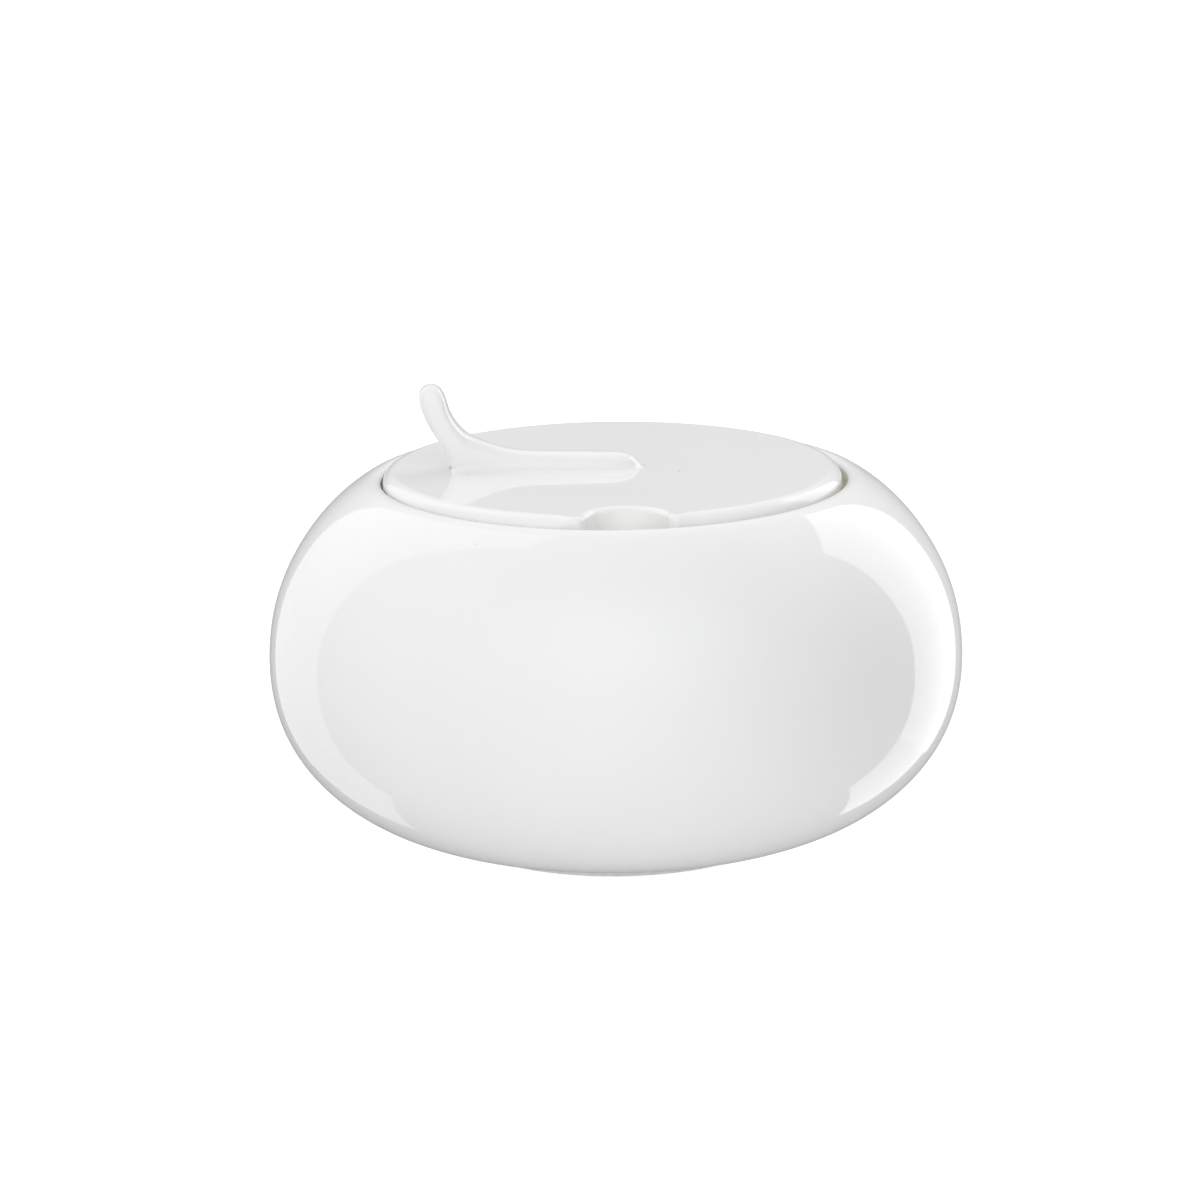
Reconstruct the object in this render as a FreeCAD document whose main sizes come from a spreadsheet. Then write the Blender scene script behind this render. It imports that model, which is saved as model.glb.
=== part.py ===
import FreeCAD, Part
import Sketcher
import math
import os
from FreeCAD import Vector

# Sugar bowl with an inset lid. Millimetres, Z up, origin at the centre of the foot on the table.
# The handle runs along -X from the middle of the lid and the spoon notch opens towards -Y.

doc = FreeCAD.newDocument("sugar_bowl")
dims = doc.addObject("Spreadsheet::Sheet", "dims")

# Outline poles of the bowl from the foot to the rim, as radius and height pairs.
OUTER_POLES = (
    (26.3, 1.6),
    (33.3, 2.4),
    (44.5, 6.5),
    (54.5, 18.4),
    (55.8, 32.8),
    (52.1, 46.1),
    (43.9, 55.7),
    (38.38, 58.45),
)
# Inside surface of the bowl, about 3 mm in from the outline, from the axis to the underside of the ledge.
INNER_POLES = (
    (0.0, 4.8),
    (14.0, 4.8),
    (31.5, 5.0),
    (42.7, 9.2),
    (51.5, 19.8),
    (52.7, 32.6),
    (49.4, 44.6),
    (43.4, 51.2),
    (38.4, 52.7),
    (33.954, 53.892),
)
# Side view of the handle, measured from the lid's centre and top face: from the blunt inner end, along
# the ridge, up and over the raised tip and down to the outer foot.
HANDLE_POLES = (
    (3.85, 0.0),
    (3.60, 1.4),
    (2.00, 2.60),
    (-1.55, 2.55),
    (-8.35, 2.8),
    (-15.95, 3.05),
    (-20.35, 4.6),
    (-23.85, 6.2),
    (-25.95, 9.1),
    (-26.35, 12.1),
    (-27.75, 13.7),
    (-29.85, 13.7),
    (-31.05, 11.6),
    (-29.85, 7.7),
    (-27.85, 4.1),
    (-26.20, 1.7),
    (-26.25, 0.0),
)

SIZES = {
    "rim_inner_radius": 36.90,
    "rim_wall_height": 57.61,
    "ledge_height": 55.76,
    "ledge_flat_radius": 34.20,
    "foot_outer_radius": 26.00,
    "foot_inner_radius": 22.20,
    "foot_edge": 0.60,
    "underside_height": 1.80,
    "underside_flat_radius": 21.00,
    "lid_radius": 36.20,
    "lid_rest_across": -0.25,
    "lid_thickness": 4.00,
    "lid_top_round": 2.10,
    "lid_base_round": 1.00,
    "notch_centre_across": 1.70,
    "notch_centre_out": 34.60,
    "notch_radius": 6.30,
    "notch_edge_round": 0.80,
    "handle_width": 6.60,
    "handle_edge_round": 1.50,
    "luting_thickness": 0.25,
    "luting_inner_end": 5.15,
    "luting_outer_end": 27.65,
    "luting_half_width": 4.40,
    "luting_fillet": 0.95,
}


def fill_sheet():
    """Writes every driving size to the sheet as a plain number with an alias."""
    rows = dict(SIZES)
    for prefix, poles in (("outer", OUTER_POLES), ("inner", INNER_POLES), ("handle", HANDLE_POLES)):
        for index, (across, up) in enumerate(poles):
            rows[f"{prefix}_pole_{index}_across"] = across
            rows[f"{prefix}_pole_{index}_up"] = up
    for row, (alias, value) in enumerate(rows.items(), start=1):
        dims.set(f"A{row}", alias)
        dims.set(f"B{row}", str(value))
        dims.setAlias(f"B{row}", alias)


def new_body(name):
    body = doc.addObject("PartDesign::Body", name)
    body.Label = name
    return body


def plane(body, role):
    return next(item for item in body.Origin.OriginFeatures if item.Role == role)


def new_sketch(body, name, role, height=None):
    """A sketch flat on one of the body's own origin planes, raised by an expression if given."""
    sketch = body.newObject("Sketcher::SketchObject", name)
    sketch.AttachmentSupport = [(plane(body, role), "")]
    sketch.MapMode = "FlatFace"
    if height:
        sketch.setExpression("AttachmentOffset.Base.z", height)
    return sketch


def bind(sketch, kind, geometry, expression, value):
    """Adds one driven size to a sketch. A minus sign is kept out by giving the points in order."""
    index = sketch.addConstraint(Sketcher.Constraint(kind, *geometry, value))
    sketch.setExpression(f"Constraints[{index}]", expression)
    return index


def pin(sketch, geo, pos, across, up, across_value, up_value):
    """Pins one point at a distance from the sketch origin along both axes."""
    bind(sketch, "DistanceX", (-1, 1, geo, pos), across, across_value)
    bind(sketch, "DistanceY", (-1, 1, geo, pos), up, up_value)


def add_spline(sketch, prefix, poles, base=0.0, base_expression=None):
    """A clamped cubic spline whose poles are all bound to the sheet."""
    spans = len(poles) - 3
    knots = [index / spans for index in range(spans + 1)]
    mults = [4] + [1] * (spans - 1) + [4]
    curve = Part.BSplineCurve()
    points = [Vector(across, up + base, 0) for across, up in poles]
    curve.buildFromPolesMultsKnots(points, mults, knots, False, 3)
    geo = sketch.addGeometry(curve, False)
    before = sketch.GeometryCount
    sketch.exposeInternalGeometry(geo)
    circles = [
        index
        for index in range(before, sketch.GeometryCount)
        if isinstance(sketch.Geometry[index], Part.Circle)
    ]
    for index, circle in enumerate(circles):
        across, up = poles[index]
        height = f"dims.{prefix}_pole_{index}_up"
        if base_expression:
            height = f"{height} + {base_expression}"
        pin(sketch, circle, 3, f"dims.{prefix}_pole_{index}_across", height, across, up + base)
    return geo


def add_line(sketch, start, end):
    return sketch.addGeometry(Part.LineSegment(Vector(*start, 0), Vector(*end, 0)), False)


def join(sketch, first, first_pos, second, second_pos):
    sketch.addConstraint(Sketcher.Constraint("Coincident", first, first_pos, second, second_pos))


def add_arc(sketch, centre, radius, start, end):
    circle = Part.Circle(Vector(*centre, 0), Vector(0, 0, 1), radius)
    arc = Part.ArcOfCircle(circle, math.radians(start), math.radians(end))
    return sketch.addGeometry(arc, False)


def flow(sketch, first, first_pos, second, second_pos):
    """Joins two ends so that one runs smoothly into the other."""
    sketch.addConstraint(Sketcher.Constraint("Tangent", first, first_pos, second, second_pos))


def revolve(body, name, sketch):
    feature = body.newObject("PartDesign::Revolution", name)
    feature.Profile = sketch
    feature.ReferenceAxis = (sketch, ["V_Axis"])
    feature.Angle = 360.0
    sketch.Visibility = False
    return feature


def edges_where(shape, test):
    return [f"Edge{index}" for index, edge in enumerate(shape.Edges, start=1) if test(edge)]


def round_edges(body, name, base, edges, size):
    feature = body.newObject("PartDesign::Fillet", name)
    feature.Base = (base, edges)
    feature.setExpression("Radius", size)
    return feature


def make_bowl():
    """One revolved casting: shoulder, rim, lid ledge, inside, foot ring and the hollow under it."""
    body = new_body("bowl")
    sketch = new_sketch(body, "bowl_section", "XZ_Plane")
    size = SIZES
    outer = add_spline(sketch, "outer", OUTER_POLES)
    inner = add_spline(sketch, "inner", INNER_POLES)

    wall = size["rim_inner_radius"]
    ledge = size["ledge_height"]
    rim = add_arc(sketch, (wall + 0.96, size["rim_wall_height"]), 0.96, 61, 180)
    throat = add_line(sketch, (wall, size["rim_wall_height"]), (wall, ledge))
    seat = add_line(sketch, (wall, ledge), (size["ledge_flat_radius"], ledge))
    nose = add_arc(sketch, (size["ledge_flat_radius"], ledge - 0.95), 0.95, 90, 255)
    join(sketch, rim, 1, outer, 2)
    flow(sketch, rim, 2, throat, 1)
    join(sketch, throat, 2, seat, 1)
    flow(sketch, seat, 2, nose, 1)
    join(sketch, nose, 2, inner, 2)
    pin(sketch, throat, 1, "dims.rim_inner_radius", "dims.rim_wall_height", wall, size["rim_wall_height"])
    pin(sketch, throat, 2, "dims.rim_inner_radius", "dims.ledge_height", wall, ledge)
    bind(sketch, "DistanceX", (-1, 1, seat, 2), "dims.ledge_flat_radius", size["ledge_flat_radius"])

    edge = size["foot_edge"]
    under = size["underside_height"]
    flat = size["underside_flat_radius"]
    foot_in = size["foot_inner_radius"]
    foot_out = size["foot_outer_radius"]
    axis = add_line(sketch, (0.0, INNER_POLES[0][1]), (0.0, under))
    ceiling = add_line(sketch, (0.0, under), (flat, under))
    slope = add_line(sketch, (flat, under), (foot_in, edge))
    inside_edge = add_arc(sketch, (foot_in + edge, edge), edge, 180, 270)
    sole = add_line(sketch, (foot_in + edge, 0.0), (foot_out - edge, 0.0))
    outside_edge = add_arc(sketch, (foot_out - edge, edge), edge, 270, 360)
    neck = add_line(sketch, (foot_out, edge), OUTER_POLES[0])
    join(sketch, axis, 1, inner, 1)
    join(sketch, axis, 2, ceiling, 1)
    join(sketch, ceiling, 2, slope, 1)
    join(sketch, slope, 2, inside_edge, 1)
    flow(sketch, inside_edge, 2, sole, 1)
    flow(sketch, sole, 2, outside_edge, 1)
    join(sketch, outside_edge, 2, neck, 1)
    join(sketch, neck, 2, outer, 1)
    pin(sketch, ceiling, 1, "0", "dims.underside_height", 0.0, under)
    pin(sketch, ceiling, 2, "dims.underside_flat_radius", "dims.underside_height", flat, under)
    pin(sketch, slope, 2, "dims.foot_inner_radius", "dims.foot_edge", foot_in, edge)
    bind(sketch, "DistanceX", (-1, 1, sole, 1), "dims.foot_inner_radius + dims.foot_edge", foot_in + edge)
    bind(sketch, "DistanceX", (-1, 1, sole, 2), "dims.foot_outer_radius - dims.foot_edge", foot_out - edge)
    bind(sketch, "DistanceX", (-1, 1, neck, 1), "dims.foot_outer_radius", foot_out)
    doc.recompute()
    revolve(body, "bowl_casting", sketch)
    return body


def make_lid_plate():
    """The flat round lid with a softly rounded edge and a spoon notch cut in its front.

    It rests a little to one side in its seat, as its play allows.
    """
    body = new_body("lid_plate")
    sketch = new_sketch(body, "lid_section", "XZ_Plane")
    sketch.setExpression("AttachmentOffset.Base.x", "dims.lid_rest_across")
    size = SIZES
    base = size["ledge_height"]
    top = base + size["lid_thickness"]
    radius = size["lid_radius"]
    upper = size["lid_top_round"]
    lower = size["lid_base_round"]
    axis = add_line(sketch, (0.0, base), (0.0, top))
    face = add_line(sketch, (0.0, top), (radius - upper, top))
    shoulder = add_arc(sketch, (radius - upper, top - upper), upper, 0, 90)
    side = add_line(sketch, (radius, top - upper), (radius, base + lower))
    heel = add_arc(sketch, (radius - lower, base + lower), lower, 270, 360)
    under = add_line(sketch, (radius - lower, base), (0.0, base))
    join(sketch, axis, 2, face, 1)
    flow(sketch, face, 2, shoulder, 2)
    flow(sketch, shoulder, 1, side, 1)
    flow(sketch, side, 2, heel, 2)
    flow(sketch, heel, 1, under, 1)
    join(sketch, under, 2, axis, 1)
    pin(sketch, axis, 1, "0", "dims.ledge_height", 0.0, base)
    pin(sketch, axis, 2, "0", "dims.ledge_height + dims.lid_thickness", 0.0, top)
    bind(sketch, "DistanceX", (-1, 1, side, 1), "dims.lid_radius", radius)
    bind(sketch, "Radius", (shoulder,), "dims.lid_top_round", upper)
    bind(sketch, "Radius", (heel,), "dims.lid_base_round", lower)
    sketch.addConstraint(Sketcher.Constraint("Horizontal", face))
    sketch.addConstraint(Sketcher.Constraint("Horizontal", under))
    doc.recompute()
    plate = revolve(body, "lid_disc", sketch)

    notch = new_sketch(body, "notch_outline", "XY_Plane", "dims.ledge_height")
    across = size["notch_centre_across"]
    out = size["notch_centre_out"]
    reach = size["notch_radius"]
    rim = notch.addGeometry(Part.Circle(Vector(across, -out, 0), Vector(0, 0, 1), reach), False)
    pin(notch, rim, 3, "dims.notch_centre_across", "-dims.notch_centre_out", across, -out)
    bind(notch, "Radius", (rim,), "dims.notch_radius", reach)
    doc.recompute()
    cut = body.newObject("PartDesign::Pocket", "spoon_notch")
    cut.Profile = notch
    cut.Type = "ThroughAll"
    cut.Reversed = True
    notch.Visibility = False
    doc.recompute()
    if not cut.Shape.Volume < plate.Shape.Volume - 1.0:
        raise RuntimeError("the spoon notch removed nothing from the lid")

    walls = [face for face in cut.Shape.Faces if is_notch_wall(face, across, out)]
    seams = edges_where(cut.Shape, lambda edge: walls_beside(edge, walls) == 1)
    round_edges(body, "notch_rounding", cut, seams, "dims.notch_edge_round")
    return body


def is_notch_wall(face, across, out):
    """True for the upright faces that the notch left behind."""
    u_mid = (face.ParameterRange[0] + face.ParameterRange[1]) / 2.0
    v_mid = (face.ParameterRange[2] + face.ParameterRange[3]) / 2.0
    upright = abs(face.normalAt(u_mid, v_mid).z) < 1e-6
    point = face.valueAt(u_mid, v_mid)
    away = math.hypot(point.x - across, point.y + out)
    return upright and point.y < 0 and away < SIZES["notch_radius"] + 0.1


def walls_beside(edge, walls):
    """How many of the notch's own walls an edge belongs to."""
    return sum(any(edge.isSame(other) for other in face.Edges) for face in walls)


def make_lid_handle():
    """A low ridge that rises into a finger tip, on the thin flare of slip that luted it to the lid."""
    body = new_body("lid_handle")
    size = SIZES
    lid_top = size["ledge_height"] + size["lid_thickness"]
    top_expression = "dims.ledge_height + dims.lid_thickness"

    side = new_sketch(body, "handle_side", "XZ_Plane")
    outline = add_spline(side, "handle", HANDLE_POLES, lid_top, top_expression)
    floor = add_line(side, (HANDLE_POLES[-1][0], lid_top), (HANDLE_POLES[0][0], lid_top))
    join(side, outline, 2, floor, 1)
    join(side, outline, 1, floor, 2)
    doc.recompute()
    grip = body.newObject("PartDesign::Pad", "handle_form")
    grip.Profile = side
    grip.Midplane = True
    grip.setExpression("Length", "dims.handle_width")
    side.Visibility = False
    doc.recompute()

    half_width = size["handle_width"] / 2.0

    def outlines_side(edge):
        ends_flat = all(abs(abs(vertex.Point.y) - half_width) < 1e-4 for vertex in edge.Vertexes)
        middle = edge.valueAt((edge.FirstParameter + edge.LastParameter) / 2.0)
        return ends_flat and middle.z > lid_top + 1.0

    edges = edges_where(grip.Shape, outlines_side)
    round_edges(body, "handle_rounding", grip, edges, "dims.handle_edge_round")
    doc.recompute()

    flare = new_sketch(body, "luting_outline", "XY_Plane", top_expression)
    half = size["luting_half_width"]
    inner = size["luting_inner_end"] - half
    outer = half - size["luting_outer_end"]
    front = add_line(flare, (outer, -half), (inner, -half))
    inner_end = add_arc(flare, (inner, 0.0), half, -90, 90)
    back = add_line(flare, (inner, half), (outer, half))
    outer_end = add_arc(flare, (outer, 0.0), half, 90, 270)
    flow(flare, front, 2, inner_end, 1)
    flow(flare, inner_end, 2, back, 1)
    flow(flare, back, 2, outer_end, 1)
    flow(flare, outer_end, 2, front, 1)
    inner_across = "dims.luting_inner_end - dims.luting_half_width"
    outer_across = "dims.luting_half_width - dims.luting_outer_end"
    pin(flare, inner_end, 3, inner_across, "0", inner, 0.0)
    pin(flare, outer_end, 3, outer_across, "0", outer, 0.0)
    bind(flare, "Radius", (inner_end,), "dims.luting_half_width", half)
    doc.recompute()
    slip = body.newObject("PartDesign::Pad", "luting_slip")
    slip.Profile = flare
    slip.setExpression("Length", "dims.luting_thickness")
    flare.Visibility = False
    doc.recompute()

    def meets_slip(edge):
        middle = edge.valueAt((edge.FirstParameter + edge.LastParameter) / 2.0)
        level = abs(middle.z - lid_top - size["luting_thickness"]) < 1e-4
        across = 0.3 - size["luting_outer_end"] < middle.x < size["luting_inner_end"] - 0.3
        return level and across and abs(middle.y) < half_width + 0.01

    edges = edges_where(slip.Shape, meets_slip)
    round_edges(body, "luting_cove", slip, edges, "dims.luting_fillet")
    return body


def check_and_export(bodies):
    """Stops if anything failed to rebuild, then writes one STEP file per piece."""
    failed = [item.Name for item in doc.Objects if {"Invalid", "Error"} & set(item.State)]
    if failed:
        raise RuntimeError(f"these did not rebuild: {failed}")
    for body in bodies:
        shape = body.Shape
        if shape.isNull() or not shape.isValid() or len(shape.Solids) != 1:
            raise RuntimeError(f"{body.Label} is not one sound solid")
    os.makedirs("parts", exist_ok=True)
    for body in bodies:
        body.Shape.exportStep(os.path.join("parts", f"{body.Label}.step"))
        print(f"{body.Label}: {body.Shape.Volume / 1000.0:.2f} cm3")


fill_sheet()
doc.recompute()
pieces = [make_bowl(), make_lid_plate(), make_lid_handle()]
doc.recompute()
check_and_export(pieces)
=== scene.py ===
import math

import bmesh
import bpy
from mathutils import Matrix, Vector


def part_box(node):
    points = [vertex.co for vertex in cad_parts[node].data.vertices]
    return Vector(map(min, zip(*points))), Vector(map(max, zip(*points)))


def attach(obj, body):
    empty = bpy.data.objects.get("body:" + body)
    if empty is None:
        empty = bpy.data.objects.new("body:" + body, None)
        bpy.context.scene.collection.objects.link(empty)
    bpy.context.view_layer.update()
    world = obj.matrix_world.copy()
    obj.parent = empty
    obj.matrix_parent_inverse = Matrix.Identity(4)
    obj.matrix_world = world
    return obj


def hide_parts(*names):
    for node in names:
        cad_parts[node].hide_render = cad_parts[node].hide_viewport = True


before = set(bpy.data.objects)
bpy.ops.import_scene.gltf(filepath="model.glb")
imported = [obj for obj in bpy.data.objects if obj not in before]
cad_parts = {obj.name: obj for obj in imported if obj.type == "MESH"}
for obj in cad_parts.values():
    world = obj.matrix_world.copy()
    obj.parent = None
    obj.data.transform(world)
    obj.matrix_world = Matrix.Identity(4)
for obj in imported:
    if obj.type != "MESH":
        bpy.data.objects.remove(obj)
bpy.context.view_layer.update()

# Sugar bowl: a glazed porcelain bowl and its flat inset lid with a luted handle.
# Lengths in the shape tables are in millimetres and are scaled by MM where they are used.

MM = 0.001
lid_low, lid_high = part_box("lid_plate")
LID_TOP = lid_high.z
LID_BASE = lid_low.z
LID_RADIUS = (lid_high.x - lid_low.x) / 2 + 0.1 * MM
LID_ACROSS = (lid_high.x + lid_low.x) / 2

# Outline of the bowl from foot to rim and its inside from the middle to the ledge: radius, height.
BOWL_OUTER = ((26.3, 1.6), (33.3, 2.4), (44.5, 6.5), (54.5, 18.4), (55.8, 32.8), (52.1, 46.1), (43.9, 55.7),
              (38.38, 58.45))
BOWL_INNER = ((0.0, 4.8), (14.0, 4.8), (31.5, 5.0), (42.7, 9.2), (51.5, 19.8), (52.7, 32.6), (49.4, 44.6),
              (43.4, 51.2), (38.4, 52.7), (33.954, 53.892))
RIM_WALL_RADIUS = 36.85
RIM_WALL_HEIGHT = 57.40
RIM_TURN = 39.7
RIM_ZONE_HEIGHT = 40.0
RIM_PULL_HEIGHT = 58.72
RIM_PULL_ALONG = 1.75
LEDGE_HEIGHT = LID_BASE / MM
LEDGE_FLAT_RADIUS = 34.20
NOSE_ROUND = 0.95
SEAT_CORNER = 1.2
FOOT_OUTER = 26.0
FOOT_INNER = 22.2
FOOT_EDGE = 0.6
UNDERSIDE_HEIGHT = 1.8
UNDERSIDE_FLAT = 21.0
NECK_OUT = 0.05
NECK_UP = 0.45
FOOT_SIDE_UP = 0.35
HOLLOW_EDGE_OUT = 0.35
HOLLOW_EDGE_DOWN = 0.3
HOLLOW_EDGE_IN = 0.2
OUTER_STEPS = 200
INNER_STEPS = 90
RIM_STEPS = 24
BOWL_SEGMENTS = 288

# Side view of the handle from the lid's middle and top: the upper outline from the inner end to the tip,
# the lower one (below the lid's face it only shapes the ridge's sides), and the half width along both.
HANDLE_UPPER = ((4.4, 0.0), (3.7, 1.3), (2.3, 2.5), (-1.75, 2.5), (-8.35, 2.7), (-16.05, 2.75),
                (-20.45, 4.4), (-23.9, 5.8), (-26.15, 9.6), (-26.25, 11.6), (-27.5, 13.6), (-28.55, 13.6))
HANDLE_LOWER = ((4.4, 0.0), (3.9, -1.3), (2.2, -2.5), (-1.55, -2.5), (-8.35, -2.8), (-16.75, -4.0),
                (-26.1, -4.4), (-25.2, 1.8), (-27.5, 4.1), (-31.3, 11.3), (-30.15, 13.6), (-28.55, 13.6))
HANDLE_HALF_WIDTH = (0.0, 1.8, 3.0, 3.3, 3.2, 3.1, 3.1, 3.1, 3.1, 3.1, 1.9, 0.0)


def spline(poles, count):
    """Points along a clamped cubic spline with the given poles, by de Boor's rule."""
    spans = len(poles) - 3
    knots = [0.0] * 3 + [i / spans for i in range(spans + 1)] + [1.0] * 3
    points = []
    for step in range(count):
        t = step / (count - 1)
        span = min(int(t * spans), spans - 1) + 3
        work = [Vector(poles[span - 3 + i]) for i in range(4)]
        for level in range(1, 4):
            for i in range(3, level - 1, -1):
                low = knots[span - 3 + i]
                high = knots[span + 1 + i - level]
                share = (t - low) / (high - low)
                work[i] = work[i - 1].lerp(work[i], share)
        points.append(work[3])
    return points


def arc(centre, radius, start, end, count):
    """Points on a circle's arc, angles in degrees."""
    angles = [math.radians(start + (end - start) * i / (count - 1)) for i in range(count)]
    return [Vector((centre[0] + radius * math.cos(a), centre[1] + radius * math.sin(a))) for a in angles]


def straight(start, end, count):
    return [Vector(start).lerp(Vector(end), i / (count - 1)) for i in range(count)]


def bezier(start, first, second, end, count):
    """Points on a cubic curve that leaves start towards first and reaches end from second."""
    points = []
    for i in range(count):
        t = i / (count - 1)
        a = Vector(start).lerp(Vector(first), t)
        b = Vector(first).lerp(Vector(second), t)
        c = Vector(second).lerp(Vector(end), t)
        points.append(a.lerp(b, t).lerp(b.lerp(c, t), t))
    return points


def new_object(name, verts, faces):
    mesh = bpy.data.meshes.new(name)
    mesh.from_pydata([tuple(v) for v in verts], [], faces)
    mesh.validate()
    mesh.polygons.foreach_set("use_smooth", [True] * len(mesh.polygons))
    mesh.update()
    obj = bpy.data.objects.new(name, mesh)
    bpy.context.scene.collection.objects.link(obj)
    return obj


def tidy_outline(points):
    """Drops points that repeat the one before."""
    kept = [points[0]]
    for point in points[1:]:
        if (point - kept[-1]).length > 1e-4:
            kept.append(point)
    return kept


def lathe(name, outline, segments):
    """Turns an outline that starts and ends on the axis into a closed solid."""
    verts = [Vector((0.0, 0.0, outline[0].y * MM))]
    for point in outline[1:-1]:
        for i in range(segments):
            a = 2 * math.pi * i / segments
            verts.append(Vector((point.x * math.cos(a), point.x * math.sin(a), point.y)) * MM)
    verts.append(Vector((0.0, 0.0, outline[-1].y * MM)))
    rings = len(outline) - 2
    last = len(verts) - 1
    faces = []
    for i in range(segments):
        j = (i + 1) % segments
        faces.append((0, 1 + i, 1 + j))
        for ring in range(rings - 1):
            a = 1 + ring * segments
            b = a + segments
            faces.append((a + i, b + i, b + j, a + j))
        end = 1 + (rings - 1) * segments
        faces.append((last, end + j, end + i))
    return new_object(name, verts, faces)


def bowl_outline():
    """The bowl's section from the middle of the inside, up over the rim and down to the foot's hollow."""
    nose = (LEDGE_FLAT_RADIUS, LEDGE_HEIGHT - NOSE_ROUND)
    corner = SEAT_CORNER
    outer = []
    for point in spline(BOWL_OUTER, OUTER_STEPS):
        if point.y < RIM_ZONE_HEIGHT or point.x > RIM_TURN:
            outer.append(point)
    turn = (outer[-1] - outer[-2]).normalized()
    points = spline(BOWL_INNER, INNER_STEPS)
    points += arc(nose, NOSE_ROUND, 255, 90, 16)
    points += straight((LEDGE_FLAT_RADIUS, LEDGE_HEIGHT), (RIM_WALL_RADIUS - corner, LEDGE_HEIGHT), 5)
    points += arc((RIM_WALL_RADIUS - corner, LEDGE_HEIGHT + corner), corner, 270, 360, 7)
    points += straight((RIM_WALL_RADIUS, LEDGE_HEIGHT + corner), (RIM_WALL_RADIUS, RIM_WALL_HEIGHT), 5)
    wall_top = (RIM_WALL_RADIUS, RIM_WALL_HEIGHT)
    rim_pull = (RIM_WALL_RADIUS, RIM_PULL_HEIGHT)
    points += bezier(wall_top, rim_pull, outer[-1] + turn * RIM_PULL_ALONG, outer[-1], RIM_STEPS)
    points += outer[::-1]
    points += straight(BOWL_OUTER[0], (FOOT_OUTER + NECK_OUT, FOOT_EDGE + NECK_UP), 4)
    points += straight((FOOT_OUTER, FOOT_EDGE + FOOT_SIDE_UP), (FOOT_OUTER, FOOT_EDGE), 3)
    points += arc((FOOT_OUTER - FOOT_EDGE, FOOT_EDGE), FOOT_EDGE, 360, 270, 9)
    points += straight((FOOT_OUTER - FOOT_EDGE, 0.0), (FOOT_INNER + FOOT_EDGE, 0.0), 6)
    points += arc((FOOT_INNER + FOOT_EDGE, FOOT_EDGE), FOOT_EDGE, 270, 180, 9)
    hollow_edge = (UNDERSIDE_FLAT + HOLLOW_EDGE_OUT, UNDERSIDE_HEIGHT - HOLLOW_EDGE_DOWN)
    points += straight((FOOT_INNER, FOOT_EDGE), hollow_edge, 4)
    points += straight((UNDERSIDE_FLAT - HOLLOW_EDGE_IN, UNDERSIDE_HEIGHT), (0.0, UNDERSIDE_HEIGHT), 14)
    return tidy_outline(points)


# Spoon notch in the lid's front: a round bite with rounded corners where it meets the lid's edge.
NOTCH_ACROSS = 1.7
NOTCH_OUT = 34.6
NOTCH_RADIUS = 6.3
NOTCH_CORNER = 1.5
NOTCH_ROUND = 0.8
NOTCH_LEAN = 2.3
RIM_TOP_ROUND = 2.1
RIM_BASE_ROUND = 1.3
ROUND_BLEND = 3.5
BITE_BLEND = 2.0
SHARE_AT_CORNER = 0.8
SHARE_IN_BITE = 0.2
LEAN_POWER = 1.1
FACE_INSET = 0.25
LID_RIM_STEPS = 420
CORNER_STEPS = 18
BITE_STEPS = 70
EDGE_STEPS = 10


def heading(vector):
    return math.atan2(vector.y, vector.x)


def notch_middle():
    """Centre of the notch's arc, measured from the lid's own centre."""
    return Vector((NOTCH_ACROSS - LID_ACROSS / MM, -NOTCH_OUT))


def notch_corner(side, radius):
    """Centre of the rounded corner between the notch and the lid's edge: side is 1 right, -1 left."""
    root = notch_middle()
    far = radius - NOTCH_CORNER
    near = NOTCH_RADIUS + NOTCH_CORNER
    share = (far * far + root.length_squared - near * near) / (2 * far * root.length)
    angle = heading(root) + side * math.acos(share)
    return Vector((math.cos(angle), math.sin(angle))) * far


def lid_outline():
    """The lid's plan, anticlockwise: points, inward directions, how much of the notch's rounding each
    has and how far its wall leans out."""
    radius = LID_RADIUS / MM
    turn = 2 * math.pi
    root = notch_middle()
    right = notch_corner(1, radius)
    left = notch_corner(-1, radius)
    rows = []

    def sweep(centre, size, start, end, count, hollow):
        for i in range(count):
            angle = start + (end - start) * i / count
            out = Vector((math.cos(angle), math.sin(angle)))
            rows.append((centre + out * size, out if hollow else -out))

    rim_start = heading(right)
    rim_end = heading(left) + turn
    sweep(Vector((0.0, 0.0)), radius, rim_start, rim_end, LID_RIM_STEPS, False)
    rim_count = len(rows)
    sweep(left, NOTCH_CORNER, rim_end, heading(root - left) + turn, CORNER_STEPS, False)
    bite_start = len(rows)
    sweep(root, NOTCH_RADIUS, heading(left - root), heading(right - root), BITE_STEPS, True)
    bite_count = len(rows) - bite_start
    sweep(right, NOTCH_CORNER, heading(root - right) + turn, rim_start + turn, CORNER_STEPS, False)

    ends = (rows[0][0], rows[rim_count - 1][0])
    outline = []
    for index, (point, inward) in enumerate(rows):
        away = min((point - end).length for end in ends)
        if index < rim_count:
            share = SHARE_AT_CORNER * max(0.0, 1.0 - away / ROUND_BLEND) ** 2
        else:
            share = SHARE_AT_CORNER + SHARE_IN_BITE * min(1.0, away / BITE_BLEND)
        along = min(1.0, max(0.0, (index - bite_start) / bite_count))
        lean = NOTCH_LEAN * math.sin(math.pi * along) ** LEAN_POWER
        outline.append((point, inward, share, lean))
    return outline


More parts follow.
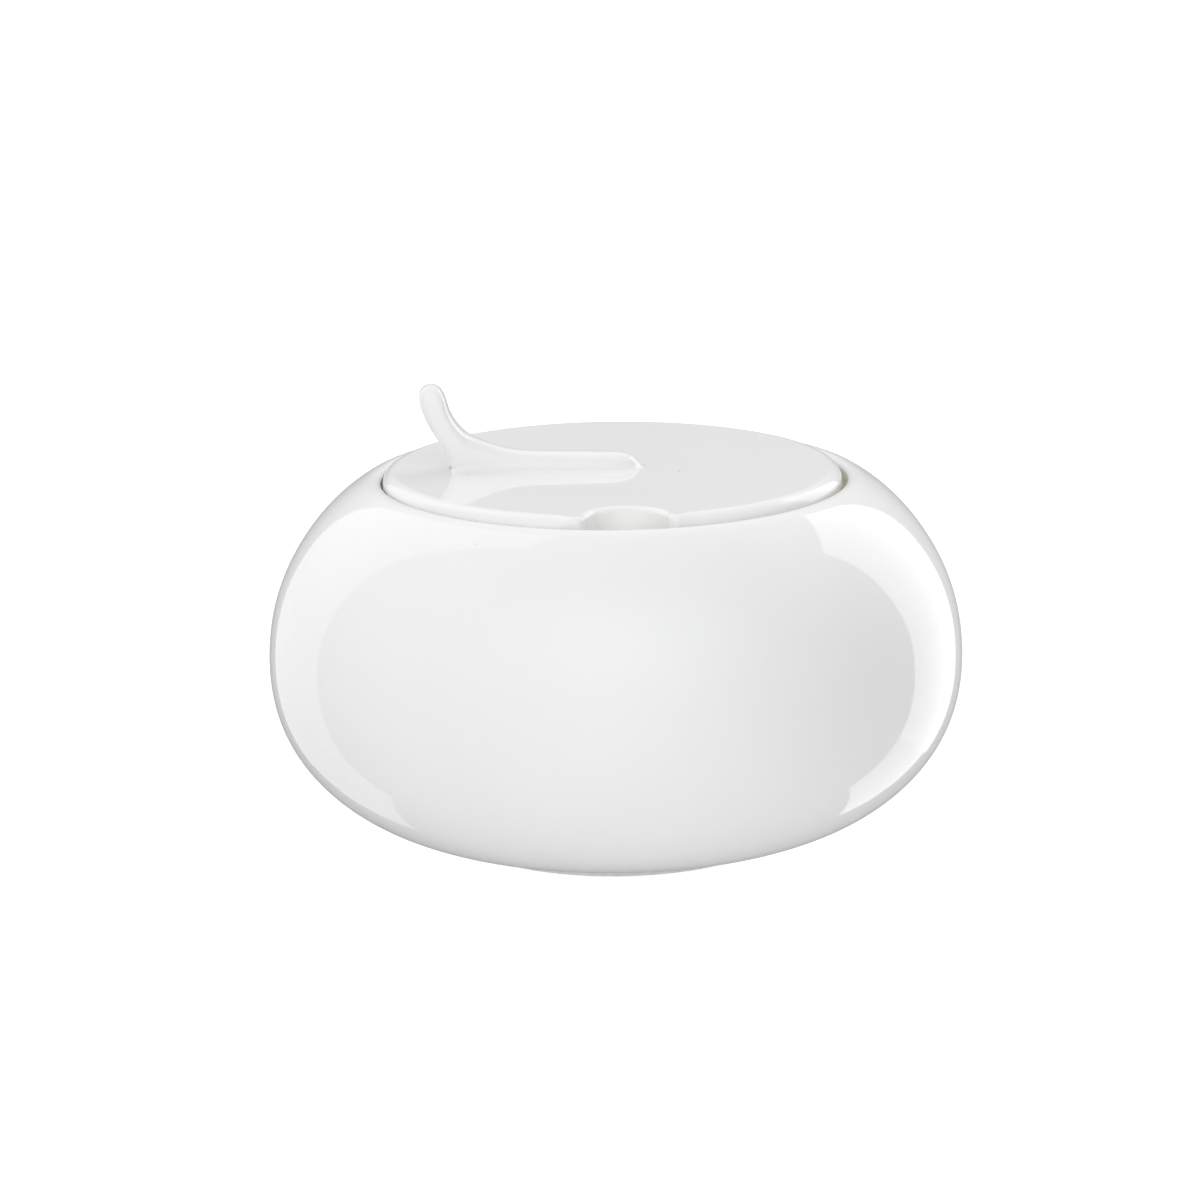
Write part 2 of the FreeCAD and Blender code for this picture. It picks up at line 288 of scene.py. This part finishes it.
def make_lid_plate():
    """The lid's disc: its plan outline swept by a rounded edge, with a flat face above and below. The
    notch's wall leans out a little towards its foot, as it does when it is cut from leather-hard clay."""
    outline = lid_outline()
    profile = []
    for i in range(EDGE_STEPS + 1):
        profile.append(("top", math.pi / 2 * (1 - i / EDGE_STEPS)))
    for i in range(EDGE_STEPS + 1):
        profile.append(("base", -math.pi / 2 * i / EDGE_STEPS))
    verts = []
    count = len(outline)
    top = LID_TOP / MM
    base = LID_BASE / MM
    rings = [("face", 0.0)] + profile + [("sole", 0.0)]
    for kind, angle in rings:
        for point, inward, share, lean in outline:
            upper = RIM_TOP_ROUND + (NOTCH_ROUND - RIM_TOP_ROUND) * share
            lower = RIM_BASE_ROUND + (NOTCH_ROUND - RIM_BASE_ROUND) * share
            if kind == "face":
                inset, height = upper + FACE_INSET, top
            elif kind == "sole":
                inset, height = lower + FACE_INSET, base
            elif kind == "top":
                inset, height = upper * (1 - math.cos(angle)), top - upper * (1 - math.sin(angle))
            else:
                inset, height = lower * (1 - math.cos(angle)), base + lower * (1 + math.sin(angle))
            spot = point + inward * (inset - lean * (top - height) / (top - base))
            verts.append(Vector((spot.x * MM + LID_ACROSS, spot.y * MM, height * MM)))
    faces = [tuple(range(count))]
    for ring in range(len(rings) - 1):
        for i in range(count):
            j = (i + 1) % count
            a = ring * count
            b = a + count
            faces.append((a + j, a + i, b + i, b + j))
    last = (len(rings) - 1) * count
    faces.append(tuple(range(last + count - 1, last - 1, -1)))
    return new_object("lid_plate_glazed", verts, faces)


HANDLE_SQUARENESS = (2.0, 2.0, 2.0, 2.1, 2.2, 2.3, 2.7, 3.3, 3.6, 3.6, 3.2, 2.6)
LUTING_FLARE = 1.3
LUTING_NOSE_FLARE = 0.8
LUTING_HEEL_FLARE = 0.4
HEEL_START = -18.0
LUTING_SINK = 0.02
HANDLE_ROWS = 200
COVE_STEPS = 9
OVER_STEPS = 26


def section_angles(middle, half, squareness):
    """Angles round one section from its foot on one side over the top: fine near the lid, for the cove."""
    start = 0.0
    if half.y > 1e-6 and middle.y < half.y:
        start = math.acos(max(-1.0, min(1.0, power(middle.y / half.y, squareness / 2))))
    share = 0.5
    if half.y > 1e-6:
        share = min(0.5, LUTING_FLARE / half.y)
    ratio = power(math.cos(start), 2 / squareness)
    angles = []
    for i in range(COVE_STEPS + 1):
        lift = share * (1 - math.cos(math.pi / 2 * i / COVE_STEPS))
        angles.append(math.acos(max(-1.0, min(1.0, power(ratio - lift, squareness / 2)))))
    last = angles[-1]
    angles += [last + (math.pi - last) * i / OVER_STEPS for i in range(1, OVER_STEPS + 1)]
    return angles + [2 * math.pi - angle for angle in angles[-2::-1]]


def power(value, exponent):
    return math.copysign(abs(value) ** exponent, value)


def make_handle():
    """The ridge and finger tip: rounded sections that fan from the ridge up the finger, squarer towards its
    tip, cut off at the lid's face, where a small cove of slip spreads onto the lid."""
    upper = spline(HANDLE_UPPER, HANDLE_ROWS)
    lower = spline(HANDLE_LOWER, HANDLE_ROWS)
    widths = spline([(w, 0.0) for w in HANDLE_HALF_WIDTH], HANDLE_ROWS)
    squares = spline([(q, 0.0) for q in HANDLE_SQUARENESS], HANDLE_ROWS)
    mesh = bmesh.new()
    grid = []
    for top, bottom, width, square in zip(upper, lower, widths, squares):
        middle = (top + bottom) / 2
        half = (top - bottom) / 2
        row = []
        for angle in section_angles(middle, half, square.x):
            rise = power(math.cos(angle), 2 / square.x)
            side = power(math.sin(angle), 2 / square.x)
            height = max(0.0, middle.y - half.y * rise)
            row.append(mesh.verts.new((middle.x - half.x * rise, -width.x * side, height)))
        grid.append(row)
    for row, following in zip(grid, grid[1:]):
        for j in range(len(row) - 1):
            mesh.faces.new((row[j], row[j + 1], following[j + 1], following[j]))
    bmesh.ops.remove_doubles(mesh, verts=mesh.verts, dist=1e-4)
    bmesh.ops.recalc_face_normals(mesh, faces=mesh.faces)
    mesh.normal_update()
    moves = []
    for vert in mesh.verts:
        out = Vector((vert.normal.x, vert.normal.y, 0.0))
        if out.length < 1e-3:
            continue
        out.normalize()
        nose = max(0.0, out.x) if vert.co.x > 0 else 0.0
        heel = max(0.0, -out.x) if vert.co.x < HEEL_START else 0.0
        size = LUTING_FLARE
        size += (LUTING_NOSE_FLARE - LUTING_FLARE) * nose
        size += (LUTING_HEEL_FLARE - LUTING_FLARE) * heel
        if vert.co.z < size:
            rise = 1 - vert.co.z / size
            moves.append((vert, out * size * (1 - math.sqrt(1 - rise * rise))))
    for vert, move in moves:
        vert.co += move
    rim = [edge for edge in mesh.edges if edge.is_boundary]
    for vert in {v for edge in rim for v in edge.verts}:
        vert.co.z -= LUTING_SINK
    bmesh.ops.holes_fill(mesh, edges=rim, sides=0)
    bmesh.ops.recalc_face_normals(mesh, faces=mesh.faces)
    for vert in mesh.verts:
        vert.co = Vector((vert.co.x * MM, vert.co.y * MM, vert.co.z * MM + LID_TOP))
    data = bpy.data.meshes.new("lid_handle_glazed")
    mesh.to_mesh(data)
    mesh.free()
    data.polygons.foreach_set("use_smooth", [True] * len(data.polygons))
    obj = bpy.data.objects.new("lid_handle_glazed", data)
    bpy.context.scene.collection.objects.link(obj)
    return obj


def node(tree, kind, settings=None, inputs=None):
    """One shader node with its settings and unlinked input values."""
    made = tree.nodes.new(kind)
    for name, value in (settings or {}).items():
        setattr(made, name, value)
    for name, value in (inputs or {}).items():
        made.inputs[name].default_value = value
    return made


def new_material(name):
    material = bpy.data.materials.new(name)
    material.use_nodes = True
    return material, material.node_tree, material.node_tree.nodes["Principled BSDF"]


def ramp(tree, low, high, start, end):
    """A colour ramp between two colours placed at two positions."""
    made = node(tree, "ShaderNodeValToRGB")
    made.color_ramp.elements[0].position = start
    made.color_ramp.elements[0].color = (*low, 1)
    made.color_ramp.elements[1].position = end
    made.color_ramp.elements[1].color = (*high, 1)
    return made


def glaze(name):
    """White porcelain under a clear gloss glaze: faint cloudiness, sparse pinholes and a soft unevenness."""
    material, tree, shader = new_material(name)
    link = tree.links.new
    shader.inputs["IOR"].default_value = 1.55
    place = node(tree, "ShaderNodeTexCoord")
    cloud = node(tree, "ShaderNodeTexNoise", inputs={"Scale": 38.0, "Detail": 3.0})
    tone = ramp(tree, GLAZE_DARKER, GLAZE_LIGHTER, 0.3, 0.7)
    link(place.outputs["Object"], cloud.inputs["Vector"])
    link(cloud.outputs["Fac"], tone.inputs["Fac"])
    cells = node(tree, "ShaderNodeTexVoronoi", inputs={"Scale": PINHOLE_SCALE})
    fade = {"From Min": 0.03, "From Max": 0.075, "To Min": 1.0, "To Max": 0.0}
    near = node(tree, "ShaderNodeMapRange", inputs=fade)
    chance = node(tree, "ShaderNodeSeparateColor")
    rare = node(tree, "ShaderNodeMath", {"operation": "GREATER_THAN"}, {1: PINHOLE_RARITY})
    pinhole = node(tree, "ShaderNodeMath", {"operation": "MULTIPLY"})
    speck = node(tree, "ShaderNodeMix", {"data_type": "RGBA"})
    speck.inputs["B"].default_value = (0.55, 0.54, 0.52, 1)
    link(place.outputs["Object"], cells.inputs["Vector"])
    link(cells.outputs["Distance"], near.inputs["Value"])
    link(cells.outputs["Color"], chance.inputs["Color"])
    link(chance.outputs["Red"], rare.inputs[0])
    link(near.outputs["Result"], pinhole.inputs[0])
    link(rare.outputs["Value"], pinhole.inputs[1])
    link(pinhole.outputs["Value"], speck.inputs["Factor"])
    link(tone.outputs["Color"], speck.inputs["A"])
    link(speck.outputs["Result"], shader.inputs["Base Color"])
    gloss = node(tree, "ShaderNodeMapRange", inputs={"To Min": 0.035, "To Max": 0.065})
    link(cloud.outputs["Fac"], gloss.inputs["Value"])
    link(gloss.outputs["Result"], shader.inputs["Roughness"])
    swell = node(tree, "ShaderNodeTexNoise", inputs={"Scale": 75.0, "Detail": 1.0})
    uneven = node(tree, "ShaderNodeBump", inputs={"Strength": 1.0, "Distance": GLAZE_SWELL})
    link(place.outputs["Object"], swell.inputs["Vector"])
    link(swell.outputs["Fac"], uneven.inputs["Height"])
    link(uneven.outputs["Normal"], shader.inputs["Normal"])
    return material


def clay(name, darker, lighter):
    """Bare fired clay of the seat and the foot, wiped free of glaze: matt and finely grained. The foot's
    darker grey is partly painted shade, standing in for the contact shadow round the foot ring.
    """
    material, tree, shader = new_material(name)
    link = tree.links.new
    place = node(tree, "ShaderNodeTexCoord")
    grain = node(tree, "ShaderNodeTexNoise", inputs={"Scale": 900.0, "Detail": 4.0})
    tone = ramp(tree, darker, lighter, 0.35, 0.65)
    link(place.outputs["Object"], grain.inputs["Vector"])
    link(grain.outputs["Fac"], tone.inputs["Fac"])
    link(tone.outputs["Color"], shader.inputs["Base Color"])
    shader.inputs["Roughness"].default_value = 0.8
    rough = node(tree, "ShaderNodeBump", inputs={"Strength": 0.4, "Distance": 0.00005})
    link(grain.outputs["Fac"], rough.inputs["Height"])
    link(rough.outputs["Normal"], shader.inputs["Normal"])
    return material


def bare(obj, slot, test):
    """Gives one of the object's bare clays to the faces whose centre passes the test, in millimetres."""
    for face in obj.data.polygons:
        if test(face.center / MM):
            face.material_index = slot


def bare_seat(spot):
    return SEAT_INSIDE < math.hypot(spot.x, spot.y) < SEAT_OUTSIDE and SEAT_LOW < spot.z < SEAT_HIGH


# The foot ring's lowest part is bare clay, coloured a darker grey as painted contact shade.
def bare_foot_and_painted_shade(spot):
    reach = math.hypot(spot.x, spot.y)
    return spot.z < FOOT_CLAY_SHADE_TOP and FOOT_INNER - FOOT_MARGIN < reach < FOOT_OUTER + FOOT_MARGIN


def bare_on_lid(spot):
    across = spot.x - LID_ACROSS / MM
    rim = math.hypot(across, spot.y) > LID_RADIUS / MM - LID_SEAT_WIDTH
    in_notch = (Vector((across, spot.y)) - notch_middle()).length < NOTCH_RADIUS + NOTCH_MARGIN
    return rim and not in_notch and spot.z < LID_TOP / MM - RIM_TOP_ROUND - GLAZE_LAP


GLAZE_DARKER = (0.855, 0.857, 0.858)
GLAZE_LIGHTER = (0.872, 0.875, 0.877)
GLAZE_SWELL = 0.00003
PINHOLE_SCALE = 190.0
PINHOLE_RARITY = 0.93
SEAT_LOW = 53.7
SEAT_HIGH = 56.9
SEAT_INSIDE = 32.8
SEAT_OUTSIDE = 37.1
LID_SEAT_WIDTH = 3.0
NOTCH_MARGIN = 1.2
GLAZE_LAP = 0.2
FOOT_CLAY_SHADE_TOP = 0.95
FOOT_MARGIN = 0.1
SEAT_CLAY = ((0.81, 0.78, 0.69), (0.87, 0.85, 0.76))
# The foot ring's bare clay is darkened below bare porcelain as painted shade for the contact shadow under
# the bowl.
FOOT_CLAY_AND_PAINTED_SHADE = ((0.62, 0.62, 0.61), (0.70, 0.70, 0.69))
SEAT_SLOT = 1
FOOT_CLAY_SHADE_SLOT = 2

bowl = lathe("bowl_glazed", bowl_outline(), BOWL_SEGMENTS)
lid = make_lid_plate()
handle = make_handle()
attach(bowl, "bowl")
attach(lid, "lid")
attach(handle, "lid")
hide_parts("bowl")
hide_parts("lid_plate")
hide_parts("lid_handle")
for piece in (bowl, lid, handle):
    piece.data.materials.append(glaze(piece.name + "_porcelain"))
    piece.data.materials.append(clay(piece.name + "_seat_clay", *SEAT_CLAY))
    # The third clay, on the foot ring, is greyed as painted contact shade.
    piece.data.materials.append(clay(piece.name + "_foot_clay_painted_shade", *FOOT_CLAY_AND_PAINTED_SHADE))
bare(bowl, SEAT_SLOT, bare_seat)
bare(bowl, FOOT_CLAY_SHADE_SLOT, bare_foot_and_painted_shade)
bare(lid, SEAT_SLOT, bare_on_lid)
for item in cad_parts.values():
    item.data.materials.clear()
    item.data.materials.append(glaze(item.name + "_porcelain"))


# Camera: about 14 degrees above the table in front of the bowl, with a long lens.
CAMERA_ELEVATION = math.radians(13.982)
CAMERA_ROLL = math.radians(-0.659)
CAMERA_DISTANCE = 0.8
CAMERA_LENS = 150.957
CAMERA_AIM = Vector((-0.002425, 0.0, 0.038103))


def make_camera():
    data = bpy.data.cameras.new("camera")
    data.lens = CAMERA_LENS
    data.sensor_width = 36.0
    data.clip_start = 0.01
    data.clip_end = 50.0
    camera = bpy.data.objects.new("camera", data)
    bpy.context.scene.collection.objects.link(camera)
    look = Vector((0.0, math.cos(CAMERA_ELEVATION), -math.sin(CAMERA_ELEVATION)))
    level = Vector((1.0, 0.0, 0.0))
    upright = Vector((0.0, math.sin(CAMERA_ELEVATION), math.cos(CAMERA_ELEVATION)))
    right = level * math.cos(CAMERA_ROLL) + upright * math.sin(CAMERA_ROLL)
    up = upright * math.cos(CAMERA_ROLL) - level * math.sin(CAMERA_ROLL)
    turn = Matrix((right, up, -look)).transposed()
    camera.matrix_world = Matrix.Translation(CAMERA_AIM - look * CAMERA_DISTANCE) @ turn.to_4x4()
    bpy.context.scene.camera = camera


def softbox(name, azimuth, low, high, width, distance, glow):
    """An upright soft light of radiance glow. Azimuth is round the object from the camera, low and high are
    elevations."""
    a = math.radians(azimuth)
    bottom = distance * math.tan(math.radians(low))
    top = distance * math.tan(math.radians(high))
    data = bpy.data.lights.new(name, "AREA")
    data.shape = "RECTANGLE"
    data.size = 2 * distance * math.tan(math.radians(width / 2))
    data.size_y = top - bottom
    data.energy = glow * math.pi * data.size * data.size_y
    light = bpy.data.objects.new(name, data)
    light.visible_camera = False
    out = Vector((math.sin(a), -math.cos(a), 0.0))
    light.location = out * distance + Vector((0, 0, (top + bottom) / 2 + SOFTBOX_LIFT))
    light.rotation_euler = out.to_track_quat("Z", "Y").to_euler()
    bpy.context.scene.collection.objects.link(light)
    return light


def make_floor():
    """A glass table over a white ground. The object is lit through the glass from below as well."""
    mesh = bpy.data.meshes.new("floor")
    size = 6.0
    corners = [(-size, -size, 0), (size, -size, 0), (size, size, 0), (-size, size, 0)]
    mesh.from_pydata(corners, [], [(0, 1, 2, 3)])
    floor = bpy.data.objects.new("floor", mesh)
    bpy.context.scene.collection.objects.link(floor)
    material = bpy.data.materials.new("table_top")
    material.use_nodes = True
    tree = material.node_tree
    link = tree.links.new
    output = tree.nodes["Material Output"]
    tree.nodes.remove(tree.nodes["Principled BSDF"])
    sheen = node(tree, "ShaderNodeFresnel", inputs={"IOR": 1.5})
    clear = node(tree, "ShaderNodeBsdfTransparent")
    mirror = node(tree, "ShaderNodeBsdfGlossy", inputs={"Color": (1, 1, 1, 1), "Roughness": 0.02})
    around = node(tree, "ShaderNodeMixShader")
    link(sheen.outputs["Fac"], around.inputs["Fac"])
    link(clear.outputs["BSDF"], around.inputs[1])
    link(mirror.outputs["BSDF"], around.inputs[2])
    rays = node(tree, "ShaderNodeLightPath")
    paper = node(tree, "ShaderNodeBsdfDiffuse", inputs={"Color": (0.4, 0.4, 0.4, 1)})
    shine = node(tree, "ShaderNodeEmission", inputs={"Color": (1, 1, 1, 1), "Strength": 0.8})
    seen = node(tree, "ShaderNodeAddShader")
    choose = node(tree, "ShaderNodeMixShader")
    link(paper.outputs["BSDF"], seen.inputs[0])
    link(shine.outputs["Emission"], seen.inputs[1])
    link(rays.outputs["Is Camera Ray"], choose.inputs["Fac"])
    link(around.outputs["Shader"], choose.inputs[1])
    link(seen.outputs["Shader"], choose.inputs[2])
    link(choose.outputs["Shader"], output.inputs["Surface"])
    mesh.materials.append(material)


# Soft glows of the room, in round values: name, azimuth round the object from the camera, elevation,
# tightness and strength. A negative glow is a dark flag that takes light away.
ROOM_GLOWS = [
    ("front_fill", 0, 5, 4, 0.9),
    ("front_key", 0, 40, 12, 0.8),
    ("left_wall", -95, 20, 4, 0.7),
    ("right_rear_wall", 110, 10, 4, 0.8),
    ("rear_ceiling", 180, 50, 5, 0.8),
    ("table_bounce", 0, -80, 5, 0.9),
    ("right_flag", 95, 5, 14, -0.8),
    ("dark_backdrop", 180, 8, 30, -0.2),
]
DIMMEST_GLOW = 0.02
# Softboxes: name, azimuth, lowest and highest elevation, width in degrees, distance and glow.
SOFTBOX_LIFT = 0.03
SOFTBOXES = [
    ("softbox_left", -132.5, -29, 72, 39, 1.5, 0.6),
    ("softbox_left_low", -132.5, -48, -29, 37, 1.5, 0.6),
    ("softbox_right", 131.5, -28, 43, 37, 1.5, 1.4),
    ("softbox_right_low", 130.0, -46, -28, 34, 1.5, 1.2),
]


def facing(azimuth, elevation):
    """Unit vector towards a place at an azimuth round the object from the camera and at an elevation."""
    a = math.radians(azimuth)
    e = math.radians(elevation)
    return Vector((math.sin(a) * math.cos(e), -math.cos(a) * math.cos(e), math.sin(e)))


def make_world():
    world = bpy.data.worlds.new("studio")
    bpy.context.scene.world = world
    world.use_nodes = True
    tree = world.node_tree
    link = tree.links.new
    output = tree.nodes["World Output"]
    room = tree.nodes["Background"]
    room.inputs["Color"].default_value = (1.0, 1.0, 1.0, 1)
    place = node(tree, "ShaderNodeTexCoord")
    total = None
    for name, azimuth, elevation, tightness, strength in ROOM_GLOWS:
        dot = node(tree, "ShaderNodeVectorMath", {"operation": "DOT_PRODUCT"})
        dot.inputs[1].default_value = facing(azimuth, elevation)
        half = node(tree, "ShaderNodeMath", {"operation": "MULTIPLY_ADD"}, {1: 0.5, 2: 0.5})
        lobe = node(tree, "ShaderNodeMath", {"operation": "POWER"}, {1: tightness})
        add = node(tree, "ShaderNodeMath", {"operation": "MULTIPLY_ADD"}, {1: strength, 2: 0.0})
        add.label = name
        link(place.outputs["Generated"], dot.inputs[0])
        link(dot.outputs["Value"], half.inputs[0])
        link(half.outputs["Value"], lobe.inputs[0])
        link(lobe.outputs["Value"], add.inputs[0])
        if total:
            link(total, add.inputs[2])
        total = add.outputs["Value"]
    dimmest = node(tree, "ShaderNodeMath", {"operation": "MAXIMUM"}, {1: DIMMEST_GLOW})
    link(total, dimmest.inputs[0])
    link(dimmest.outputs["Value"], room.inputs["Strength"])
    white = node(tree, "ShaderNodeBackground", inputs={"Color": (1, 1, 1, 1), "Strength": 1.0})
    rays = node(tree, "ShaderNodeLightPath")
    choose = node(tree, "ShaderNodeMixShader")
    link(rays.outputs["Is Camera Ray"], choose.inputs["Fac"])
    link(room.outputs["Background"], choose.inputs[1])
    link(white.outputs["Background"], choose.inputs[2])
    link(choose.outputs["Shader"], output.inputs["Surface"])


make_camera()
make_floor()
make_world()
for settings in SOFTBOXES:
    softbox(*settings)
bpy.context.scene.view_settings.view_transform = "Standard"
